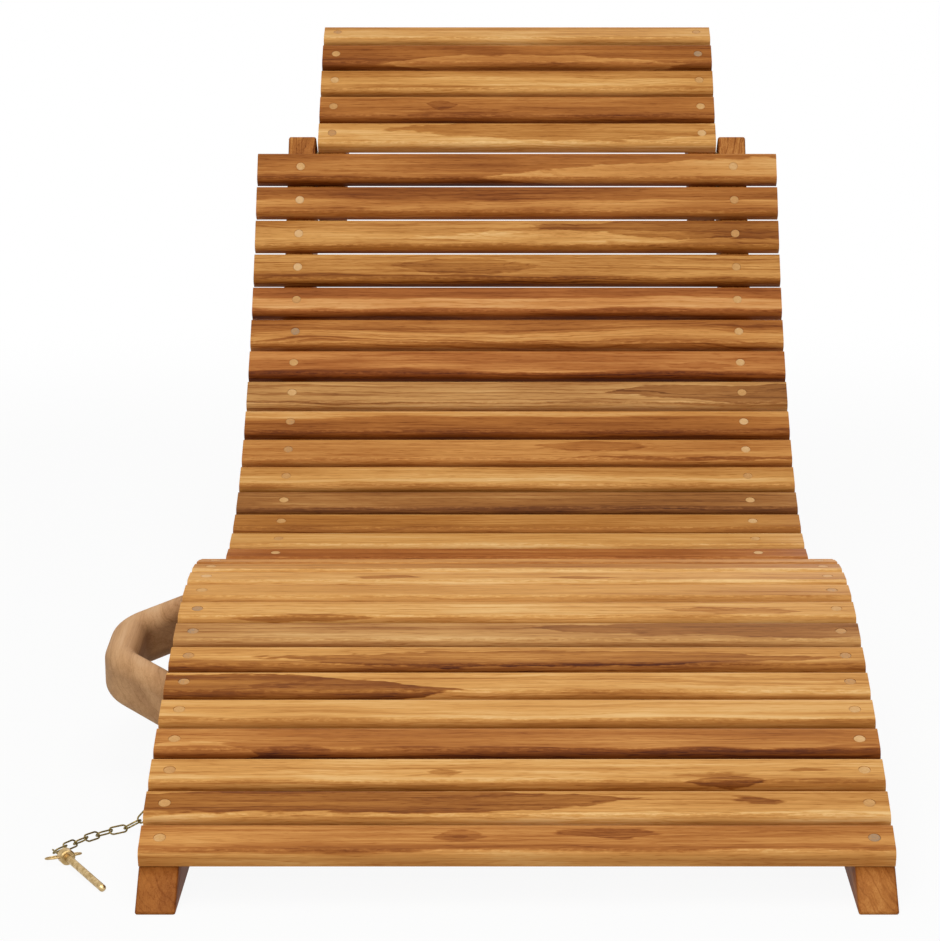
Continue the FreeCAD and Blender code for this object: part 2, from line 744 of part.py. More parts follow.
bolts = []
sunk_face = back_outer - size["bolt_head_height"]
for side in (-1, 1):
    bolts += bolt_set(hinge, side, front_outer + size["bolt_seat_clear"], back_inner,
                      front_inner, size["layer_gap"])
    bolts += bolt_set(leg_pivot, side, sunk_face, leg_inner, back_inner, size["head_gap"])
    bolts += bolt_set(head_pivot, side, sunk_face, head_inner, back_inner, size["head_gap"])
repeated("pivot_bolts", bolts)

# Carry handle: a bow cut from a board, seen from above in its own sketch


def bow(half_base, half_top, reach, corner):
    """Points of a bow from one foot to the other: slanted arms, round corners and a straight grip."""
    knee = Vector(-reach, half_top, 0)
    foot = Vector(0, half_base, 0)
    arm = (foot - knee).normalize()
    grip = Vector(0, -1, 0)
    half_turn = arm.getAngle(grip) / 2
    inset = corner / math.tan(half_turn)
    centre = knee + (arm + grip).normalize() * (corner / math.sin(half_turn))
    middle = centre + (knee - centre).normalize() * corner
    start, finish = knee + arm * inset, knee + grip * inset
    flip = [Vector(point.x, -point.y, 0) for point in (foot, start, middle, finish)]
    return [[foot, start], [start, middle, finish], [finish, flip[3]],
            [flip[3], flip[2], flip[1]], [flip[1], flip[0]]]


handle_half = size["handle_length"] / 2
grip_half = size["handle_grip_length"] / 2
outer_bow = bow(handle_half, grip_half, size["handle_reach"], size["handle_corner"])
arm_slant = math.atan2(handle_half - grip_half, size["handle_reach"])
inner_base = handle_half - size["handle_stock"] / math.cos(arm_slant)
inner_reach = size["handle_reach"] - size["handle_stock"]
inner_top = inner_base - inner_reach * math.tan(arm_slant)
inner_bow = bow(inner_base, inner_top, inner_reach, min(size["handle_corner"] / 3, inner_top))
handle = new_body("HandleBow")
handle_sketch = new_sketch(handle, "HandleOutline", "XY_Plane")
handle_runs = outer_bow + [points[::-1] for points in inner_bow[::-1]]
handle_runs += [[Vector(0, sign * inner_base, 0), Vector(0, sign * handle_half, 0)] for sign in (-1, 1)]
draw(handle_sketch, handle_runs, lambda point: point)
handle_pad = pad(handle, handle_sketch, "handle_thick", True)
ease(handle, handle_pad, lambda edge: edge.BoundBox.ZLength < 1e-3 and edge.BoundBox.XMin < -1e-3,
     "handle_ease")
handle.Placement = Placement(Vector(-front_outer, handle_centre.y, handle_centre.z),
                             Rotation(Vector(1, 0, 0), size["handle_tilt"]))
handle_pilots = [cylinder("HandlePilot%d" % index, "screw_diameter / 2 + screw_clear", "handle_screw_length",
                          Vector(-front_inner, spot.y, spot.z), Vector(-1, 0, 0))
                 for index, spot in enumerate(handle_screws)]
keep(cut("CarryHandle", handle, handle_pilots), "carry_handle")

# Screw eye, chain and locking pin, lying beside the left front rail


def wire_ring(path, wire):
    """Round wire swept along a closed wire path."""
    start = path.Edges[0]
    point = start.valueAt(start.FirstParameter)
    direction = start.tangentAt(start.FirstParameter)
    section = Part.Wire(Part.makeCircle(wire / 2, point, direction))
    return Part.Wire(path).makePipeShell([section], True, False)


def link_path():
    straight = (size["link_length"] - size["link_width"]) / 2
    radius = (size["link_width"] - size["link_wire"]) / 2
    right, left = Vector(straight, radius, 0), Vector(-straight, radius, 0)
    low_right, low_left = Vector(straight, -radius, 0), Vector(-straight, -radius, 0)
    far, near = Vector(straight + radius, 0, 0), Vector(-straight - radius, 0, 0)
    runs = [Part.LineSegment(left, right), Part.Arc(right, far, low_right),
            Part.LineSegment(low_right, low_left), Part.Arc(low_left, near, left)]
    return Part.Wire([run.toShape() for run in runs])


def chord_walk(route, step):
    """Points a fixed distance apart along a route of straight runs."""
    points, index, here = [route[0]], 1, route[0]
    while index < len(route):
        goal = route[index]
        if (goal - points[-1]).Length < step:
            here, index = goal, index + 1
            continue
        run = goal - here
        low, high = 0.0, 1.0
        for _ in range(50):
            middle = (low + high) / 2
            if (here + run * middle - points[-1]).Length < step:
                low = middle
            else:
                high = middle
        here = here + run * high
        points.append(here)
    return points


eye_centre = Vector(-front_outer - size["eye_radius"] - size["eye_wire"], eye_point.y, eye_point.z)
eye_path = Part.Wire(Part.makeCircle(size["eye_radius"], eye_centre, Vector(0, 1, 0)))
eye_ring = wire_ring(eye_path, size["eye_wire"])
eye_root = eye_centre + Vector(size["eye_radius"], 0, 0)
eye_stem = Part.makeCylinder(size["eye_wire"] / 2, size["eye_shank"], eye_root, Vector(1, 0, 0))
screw_eye = eye_ring.fuse(eye_stem)

link = wire_ring(link_path(), size["link_wire"])
link_step = size["link_length"] - 2 * size["link_wire"] - size["link_slack"]
hang_start = eye_centre + Vector(0, 0, size["eye_wire"] / 2 - size["eye_radius"])
# Chain's way from the eye down to the floor and along it: out, back and height in link lengths
chain_way = [(-0.1, 0, 1.4), (-0.45, 0.03, 0.9), (-0.9, 0.08, 0.48), (-1.4, 0.02, 0.25),
             (-1.9, -0.2, 0.2), (-2.5, -0.62, 0.2), (-3.0, -1.2, 0.2), (-3.5, -1.85, 0.2),
             (-3.9, -2.5, 0.2), (-4.3, -3.15, 0.2), (-4.68, -3.8, 0.2)]
chain_route = [hang_start]
for out, back, height in chain_way:
    spot = Vector(out, back, height) * size["link_length"]
    chain_route.append(Vector(eye_centre.x + spot.x, eye_point.y + spot.y, spot.z))
heading = Vector(math.sin(radians(size["pin_heading"])), -math.cos(radians(size["pin_heading"])), 0)
knots = chord_walk(chain_route, link_step)
knots.append(knots[-1] + heading * link_step)
# Links from the pin back to the eye, each turned a quarter from the next and level on the floor
links = []
side_way = heading.cross(Vector(0, 0, 1))
for index in reversed(range(len(knots) - 1)):
    here, beyond = knots[index], knots[index + 1]
    run = (beyond - here).normalize()
    side_way = (side_way - run * run.dot(side_way)).normalize()
    twist = Rotation(run, side_way, run.cross(side_way), "XYZ")
    copy = link.copy()
    copy.Placement = Placement((here + beyond) / 2, twist * Rotation(Vector(1, 0, 0), 45 + 90 * (index % 2)))
    links.append(copy)
repeated("pin_chain", [screw_eye] + links)

pin_radius, collar_radius = size["pin_diameter"] / 2, size["pin_head_diameter"] / 2
collar, bevel = size["pin_head_length"], size["pin_head_length"] / 9
pin_tip = pin_radius * 0.6
pin_reach = size["pin_length"] - pin_tip
pin_shape = turned_piece([(0, 0), (collar_radius - bevel, 0), (collar_radius, bevel),
                          (collar_radius, collar - bevel), (collar_radius - bevel, collar),
                          (pin_radius, collar), (pin_radius, pin_reach),
                          (pin_radius - pin_tip, size["pin_length"]), (0, size["pin_length"])])
loop_hole = Part.makeCylinder(size["loop_wire"] / 2 + size["loop_clear"], 2 * size["pin_head_diameter"],
                              Vector(-size["pin_head_diameter"], 0, collar / 2), Vector(1, 0, 0))
pin_shape = pin_shape.cut(loop_hole)

# The pin lies on its collar and its tip, and its wire loop holds the last link
pin_dip = math.atan2(collar_radius - pin_radius, pin_reach - collar + bevel)
pin_height = (collar - bevel) * math.sin(pin_dip) + collar_radius * math.cos(pin_dip) + size["seat_clear"]
crosswise = Vector(heading.y, -heading.x, 0)
pin_axis = heading * math.cos(pin_dip) - Vector(0, 0, math.sin(pin_dip))
loop_rear = knots[-1] - heading * ((size["loop_wire"] + size["link_slack"]) / 2)
loop_rise = pin_height - collar / 2 * math.sin(pin_dip) - loop_rear.z
loop_run = math.sqrt((2 * size["loop_radius"]) ** 2 - loop_rise ** 2)
loop_front = loop_rear + heading * loop_run + Vector(0, 0, loop_rise)
loop_out = (loop_front - loop_rear).normalize()
loop_half = crosswise * (collar_radius + size["loop_wire"])
loop_middle = (loop_rear + loop_front) / 2
loop_end = loop_half + crosswise * size["loop_radius"]
loop_runs = [Part.LineSegment(loop_rear - loop_half, loop_rear + loop_half),
             Part.Arc(loop_rear + loop_half, loop_middle + loop_end, loop_front + loop_half),
             Part.LineSegment(loop_front + loop_half, loop_front - loop_half),
             Part.Arc(loop_front - loop_half, loop_middle - loop_end, loop_rear - loop_half)]
loop_path = Part.Wire([run.toShape() for run in loop_runs])
pin_turn = Rotation(crosswise, pin_axis.cross(crosswise), pin_axis, "ZXY")
pin_shape.Placement = Placement(loop_front - pin_axis * (collar / 2), pin_turn)
repeated("locking_pin", [pin_shape, wire_ring(loop_path, size["loop_wire"])])

# Checks and export, with the origin under the middle of the whole chair

doc.recompute()
for thing in doc.Objects:
    if "Invalid" in thing.State or "Error" in thing.State:
        raise RuntimeError("%s did not rebuild" % thing.Label)
for piece in pieces:
    if piece.Shape.isNull() or not piece.Shape.isValid():
        raise RuntimeError("%s has no valid shape" % piece.Label)
whole = FreeCAD.BoundBox()
for piece in pieces:
    whole.add(piece.Shape.optimalBoundingBox(False))
shift = Vector(-whole.Center.x, -whole.Center.y, -whole.ZMin)
os.makedirs("parts", exist_ok=True)
for piece in pieces:
    moved = piece.Shape.copy()
    moved.translate(shift)
    moved.exportStep("parts/%s.step" % piece.Label)


def metres(point):
    return [round(value / 1000, 6) for value in point + shift]


foot_front = (front_runs[-3][0] + front_runs[-3][1]) / 2
foot_rear = (leg_runs[2][0] + leg_runs[2][1]) / 2
foot_seat = Vector(0, 0, 0)
leg_middle = inside_outer - size["leg_thick"] / 2
print("size", round(whole.XLength, 2), round(whole.YLength, 2), round(whole.ZLength, 2))
print("front pivot", metres(hinge))
print("leg pivot", metres(leg_pivot))
print("headrest pivot", metres(head_pivot))
for side in (-1, 1):
    print("front foot", metres(foot_front + Vector(side * front_reach, 0, 0)))
    print("seat rest", metres(foot_seat + Vector(side * back_reach, 0, 0)))
    print("rear foot", metres(foot_rear + Vector(side * leg_middle, 0, 0)))
print("handle", metres(handle_centre - Vector(front_outer, 0, 0)))
print("finger opening", round(inner_base, 2), round(inner_top, 2), round(inner_reach, 2))
print("pin holes", metres(pin_hole_front), metres(pin_hole_back))
print("pieces", len(pieces), "chain links", len(links))
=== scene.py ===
import json
import math
import bmesh
import bpy
import numpy as np
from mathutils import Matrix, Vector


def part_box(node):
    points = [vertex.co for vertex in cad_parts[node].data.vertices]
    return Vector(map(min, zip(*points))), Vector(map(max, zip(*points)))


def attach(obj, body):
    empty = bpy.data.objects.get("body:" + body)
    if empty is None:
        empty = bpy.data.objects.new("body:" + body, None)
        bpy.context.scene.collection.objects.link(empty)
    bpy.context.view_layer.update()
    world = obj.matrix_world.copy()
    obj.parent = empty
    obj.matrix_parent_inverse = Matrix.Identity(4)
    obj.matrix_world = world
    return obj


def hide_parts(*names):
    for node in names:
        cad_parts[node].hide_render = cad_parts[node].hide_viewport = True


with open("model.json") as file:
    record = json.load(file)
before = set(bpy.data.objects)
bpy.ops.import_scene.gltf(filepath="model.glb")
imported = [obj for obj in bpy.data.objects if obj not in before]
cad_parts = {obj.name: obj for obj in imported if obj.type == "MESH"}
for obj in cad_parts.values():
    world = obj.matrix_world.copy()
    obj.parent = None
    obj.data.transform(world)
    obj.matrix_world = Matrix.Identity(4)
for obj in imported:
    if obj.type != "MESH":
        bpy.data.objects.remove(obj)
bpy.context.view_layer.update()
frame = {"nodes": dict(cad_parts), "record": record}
nodes = frame["nodes"]
scene = bpy.context.scene
scene.view_settings.view_transform = "Standard"
mm = 0.001      # in metres
white = (1.0, 1.0, 1.0, 1.0)
timesPlus = {"operation": "MULTIPLY_ADD"}       # the first input times the second, plus the third
smoothStep = {"interpolation_type": "SMOOTHSTEP"}
print("frame loaded,", len(nodes), "nodes")


# sRGB hex to linear: a small channel c is c / 12.92, any other ((c + 0.055) / 1.055) to the power 2.4
def linear(hexCode):
    channels = [int(hexCode[i:i + 2], 16) / 255 for i in (1, 3, 5)]
    return tuple(c / 12.92 if c <= 0.04045 else ((c + 0.055) / 1.055) ** 2.4 for c in channels) + (1.0,)


# a ramp's stops: colour number n of a list stands at n / (length - 1)
def evenStops(hexCodes):
    return "LINEAR", [(step / (len(hexCodes) - 1), linear(code)) for step, code in enumerate(hexCodes)]


# adds one node with its settings, feeds each input from a value or another node's output, sets a ramp's
# stops (how it blends, and each place with its colour), and gives back one output
def addNode(tree, kind, settings=None, feeds=None, out=0, stops=None):
    node = tree.nodes.new("ShaderNode" + kind)
    for key, value in (settings or {}).items():
        setattr(node, key, value)
    for key, value in (feeds or {}).items():
        if isinstance(value, bpy.types.NodeSocket):
            tree.links.new(value, node.inputs[key])
        else:
            node.inputs[key].default_value = value
    if stops:
        node.color_ramp.interpolation = stops[0]
        while len(node.color_ramp.elements) < len(stops[1]):
            node.color_ramp.elements.new(1.0)
        for element, (at, colour) in zip(node.color_ramp.elements, stops[1]):
            element.position, element.color = at, colour
    return node.outputs[out]


# an empty material: its node tree and its shader
def newMaterial(name):
    material = bpy.data.materials.new(name)
    material.use_nodes = True
    tree = material.node_tree
    return material, tree, tree.nodes["Principled BSDF"]


# every face of a piece takes one material
def dress(piece, material):
    piece.data.materials.clear()
    piece.data.materials.append(material)


# a node's vertices as one array, a row of x, y and z in metres for each
def points(node):
    flat = np.empty(len(node.data.vertices) * 3)
    node.data.vertices.foreach_get("co", flat)
    return flat.reshape(-1, 3)


# the main direction of a node in the side view: the longer axis of its points' spread, towards the back
def mainDirection(node):
    along = np.linalg.eigh(np.cov(points(node)[:, 1:].T))[1][:, 1]
    return along * np.sign(along[0])


# Teak, sawn, planed and oiled: honey sapwood and brown heartwood in bands along the grain, with soft
# streaks, thin dark veins, short pores and a dull satin sheen. Each timber is a ramp from its darkest wood
# to its palest.
timbers = {
    "honey": ("#481A00", "#82460E", "#B07230", "#D69C54", "#EEC484"),
    "amber": ("#461800", "#80420C", "#AC6A2C", "#D0924C", "#E8BA78"),
    "russet": ("#441400", "#7E3E0A", "#AA642A", "#CE8C4A", "#E6B274"),
    "umber": ("#3E1A04", "#724016", "#A06832", "#C69254", "#E0B478"),
    "fawn": ("#3E1C08", "#704624", "#A07248", "#C89A6C", "#DDB68C"),
}

teak = {
    # each layer of grain: its length along the board and its width in mm, its detail and its roughness
    "layers": {
        "sway": (190.0, 45.0, 3.0, 0.5),
        "ragged": (90.0, 10.0, 3.0, 0.55),
        "streak": (260.0, 5.0, 5.0, 0.6),
        "mottle": (150.0, 22.0, 1.5, 0.5),
        "fibre": (45.0, 1.0, 2.5, 0.6),     # fibres are 0.3 mm wide: drawn 1 mm wide so that they show
        "pore": (14.0, 0.9, 1.0, 0.5),      # pores are 0.3 mm wide: drawn 0.9 mm wide so that they show
        "fray": (34.0, 7.0, 3.0, 0.6),
        "speck": (7.0, 2.0, 2.0, 0.6),
    },
    "apart": (1.3, 40.0),       # how far a board's seed moves its layers and its veins
    "span": (-32.0, 20.0),      # the depths that bands lie between, mm
    "ragged": 9.0,              # how far a band's edge strays, mm
    "fray": 12.0,               # how far the edge of a flame strays, mm
    "flameEdge": 1.8,           # how far the edge of a flame fades, mm
    "flameRim": 0.4,            # where a flame's rim ends, from 0 at its edge to 1 at its heart
    "flameTone": (1.2, 0.9, 0.85),      # strength at a dark flame's rim, at a pale one's, in the heart
    "bulge": 0.7,               # how far veins bend round a flame, as a share of its half height
    "vein": (420.0, 2.4),       # dark growth lines: how far one runs before it fades, and their spacing, mm
    "veinNoise": (3.0, 0.55),   # detail and roughness
    "veinAt": (0.5, 0.68),      # where in its noise a vein starts, and where it is full
    "veinCover": 0.25,          # the share of the wood that veins darken
    "poreAt": (0.56, 0.72),
    "poreShare": 0.14,
    "speckAt": (0.46, 0.62),
    "share": {"streak": 0.6, "mottle": 0.5, "fibre": 0.3},
    "endDark": 0.16,            # end grain soaks up oil and goes darker
    "arris": (-14.5, 3.0),      # the pale front edge, wear and painted highlight: its place across the slat and its half width, mm
    "roughness": (0.56, 0.72),
    "gloss": 0.16,              # oil in open grain reflects less than a varnish
    "grainDepth": 0.00012,      # m
    "grainStrength": 0.4,
}


# Tone of the wood at a point. Depth is the distance from a pith line beside the board, counted from the
# middle of its face in mm across it, plus a slow sway and small ragged waves. Bands are stops of tone along
# that depth; on a slat's front edge and just above it they are partly the wood and partly painted light and
# shade. A flame is a lens, |depth - y| / halfHeight + (distance along / halfLength) squared < 1, darker
# inside, with a darker rim. Stretched noises add streaks, mottle, fibres, pores and veins, and pale specks
# on the front arris, partly wear and partly painted highlight. The sum, less the middle of those noises,
# picks a colour from the timber's ramp.
def teakMaterial(name, look, centre, turn):
    material, tree, shader = newMaterial(name)
    seed = look["seed"]
    layersApart, veinsApart = teak["apart"]
    place = tree.nodes.new("ShaderNodeTexCoord").outputs
    local = addNode(tree, "Mapping", {"vector_type": "TEXTURE"}, {
        "Vector": place["Object"], "Location": centre, "Rotation": turn, "Scale": (mm, mm, mm)})
    run = addNode(tree, "SeparateXYZ", None, {0: local})
    across = addNode(tree, "SeparateXYZ", None, {0: local}, 1)
    grain = {}
    for step, (key, (long, wide, detail, rough)) in enumerate(teak["layers"].items(), 1):
        stretched = addNode(tree, "Mapping", None, {
            "Vector": local, "Location": (seed * step, seed * layersApart, step),
            "Scale": (1 / long, 1 / wide, 1 / wide)})
        grain[key] = addNode(tree, "TexNoise", None, {
            "Vector": stretched, "Scale": 1.0, "Detail": detail, "Roughness": rough})

    # depth and the bands along it, which on a slat's front edge hold painted light and shade as well
    pithY, pithZ = look["pith"]
    start = math.hypot(pithY, pithZ - look["face"])
    steep = start / abs(pithY)
    pith = addNode(tree, "Mapping", {"vector_type": "TEXTURE"}, {
        "Vector": local, "Location": (0, pithY, pithZ), "Rotation": (0, 0, math.radians(look["lean"]))})
    pith = addNode(tree, "VectorMath", {"operation": "MULTIPLY"}, {0: pith, 1: (0, 1, 1)})
    radius = addNode(tree, "VectorMath", {"operation": "LENGTH"}, {0: pith}, "Value")
    depth = addNode(tree, "Math", timesPlus, {
        0: radius, 1: steep, 2: -start * steep - look["sway"] - teak["ragged"] / 2})
    depth = addNode(tree, "Math", timesPlus, {0: grain["sway"], 1: 2 * look["sway"], 2: depth})
    depth = addNode(tree, "Math", timesPlus, {0: grain["ragged"], 1: teak["ragged"], 2: depth})
    low, high = teak["span"]
    at = addNode(tree, "MapRange", None, {"Value": depth, "From Min": low, "From Max": high})
    tone = addNode(tree, "ValToRGB", None, {0: at}, 0, ("EASE", [
        ((y - low) / (high - low), (level, level, level, 1)) for y, level in sorted(look["bands"])]))

    # flames, and the veins that bend round them
    frayed = addNode(tree, "Math", timesPlus, {0: grain["fray"], 1: teak["fray"], 2: depth})
    bulge = depth
    darkRim, paleRim, heart = teak["flameTone"]
    for x, y, halfLength, halfHeight, dark in look["flames"]:
        along = addNode(tree, "Math", timesPlus, {0: run, 1: 1 / halfLength, 2: -x / halfLength})
        along = addNode(tree, "Math", {"operation": "MULTIPLY"}, {0: along, 1: along})
        off = addNode(tree, "Math", timesPlus, {
            0: frayed, 1: 1 / halfHeight, 2: -(y + teak["fray"] / 2) / halfHeight})
        off = addNode(tree, "Math", {"operation": "ABSOLUTE"}, {0: off})
        lens = addNode(tree, "Math", {"operation": "ADD"}, {0: along, 1: off})
        lens = addNode(tree, "Math", {"operation": "SUBTRACT", "use_clamp": True}, {0: 1.0, 1: lens})
        mask = addNode(tree, "MapRange", smoothStep, {
            "Value": lens, "From Max": min(1.0, teak["flameEdge"] / halfHeight)})
        inner = addNode(tree, "MapRange", None, {
            "Value": lens, "From Max": teak["flameRim"],
            "To Min": darkRim if dark > 0 else paleRim, "To Max": heart})
        mask = addNode(tree, "Math", {"operation": "MULTIPLY"}, {0: mask, 1: inner})
        tone = addNode(tree, "Math", timesPlus, {0: mask, 1: -dark, 2: tone})
        bulge = addNode(tree, "Math", timesPlus, {0: lens, 1: halfHeight * teak["bulge"], 2: bulge})
    long, wide = teak["vein"]
    detail, rough = teak["veinNoise"]
    vein = addNode(tree, "CombineXYZ", None, {0: run, 1: bulge, 2: seed * veinsApart})
    vein = addNode(tree, "VectorMath", {"operation": "MULTIPLY"}, {
        0: vein, 1: (1 / long, 1 / wide, 1 / wide)})
    vein = addNode(tree, "TexNoise", None, {
        "Vector": vein, "Scale": 1.0, "Detail": detail, "Roughness": rough})
    low, high = teak["veinAt"]
    vein = addNode(tree, "MapRange", smoothStep, {"Value": vein, "From Min": low, "From Max": high})

    # the sum of all tones
    total = addNode(tree, "Math", timesPlus, {0: vein, 1: -look["vein"], 2: tone})
    for key, share in teak["share"].items():
        total = addNode(tree, "Math", timesPlus, {0: grain[key], 1: share * look["grain"], 2: total})
    low, high = teak["poreAt"]
    pore = addNode(tree, "MapRange", None, {"Value": grain["pore"], "From Min": low, "From Max": high})
    total = addNode(tree, "Math", timesPlus, {0: pore, 1: -teak["poreShare"] * look["grain"], 2: total})
    # a pale speckled line along the front arris: partly wear, partly painted highlight
    edge, half = teak["arris"]
    wearAndHighlight = addNode(tree, "Math", {"operation": "SUBTRACT"}, {0: across, 1: edge})
    wearAndHighlight = addNode(tree, "Math", {"operation": "ABSOLUTE"}, {0: wearAndHighlight})
    wearAndHighlight = addNode(tree, "MapRange", None, {
        "Value": wearAndHighlight, "From Max": half, "To Min": look["edgeWearAndHighlight"], "To Max": 0.0})
    low, high = teak["speckAt"]
    speck = addNode(tree, "MapRange", None, {"Value": grain["speck"], "From Min": low, "From Max": high})
    total = addNode(tree, "Math", timesPlus, {0: wearAndHighlight, 1: speck, 2: total})
    tilt = addNode(tree, "VectorMath", {"operation": "ABSOLUTE"}, {0: place["Normal"]})
    tilt = addNode(tree, "SeparateXYZ", None, {0: tilt})
    total = addNode(tree, "Math", timesPlus, {0: tilt, 1: -teak["endDark"], 2: total})
    middle = look["grain"] * sum(teak["share"].values()) / 2 - look["vein"] * teak["veinCover"]
    level = addNode(tree, "Math", {"operation": "SUBTRACT"}, {0: total, 1: middle})
    colour = addNode(tree, "ValToRGB", None, {0: level}, 0, evenStops(timbers[look["timber"]]))
    tree.links.new(colour, shader.inputs["Base Color"])

    # a satin sheen that the fibres break up
    shader.inputs["Specular IOR Level"].default_value = teak["gloss"]
    sheen, dull = teak["roughness"]
    rough = addNode(tree, "MapRange", None, {"Value": grain["fibre"], "To Min": dull, "To Max": sheen})
    tree.links.new(rough, shader.inputs["Roughness"])
    bump = addNode(tree, "Bump", None, {
        "Height": grain["fibre"], "Strength": teak["grainStrength"], "Distance": teak["grainDepth"]})
    tree.links.new(bump, shader.inputs["Normal"])
    return material


# A slat's own frame: the middle of its box along and across its main direction, and that slope
def slatPlace(node):
    spots = points(node)
    along = mainDirection(node)
    middle = np.zeros(2)
    for axis in (along, np.array((-along[1], along[0]))):
        reach = spots[:, 1:] @ axis
        middle += (reach.max() + reach.min()) / 2 * axis
    sideways = (spots[:, 0].max() + spots[:, 0].min()) / 2
    return (float(sideways), *middle.tolist()), math.atan2(along[1], along[0])
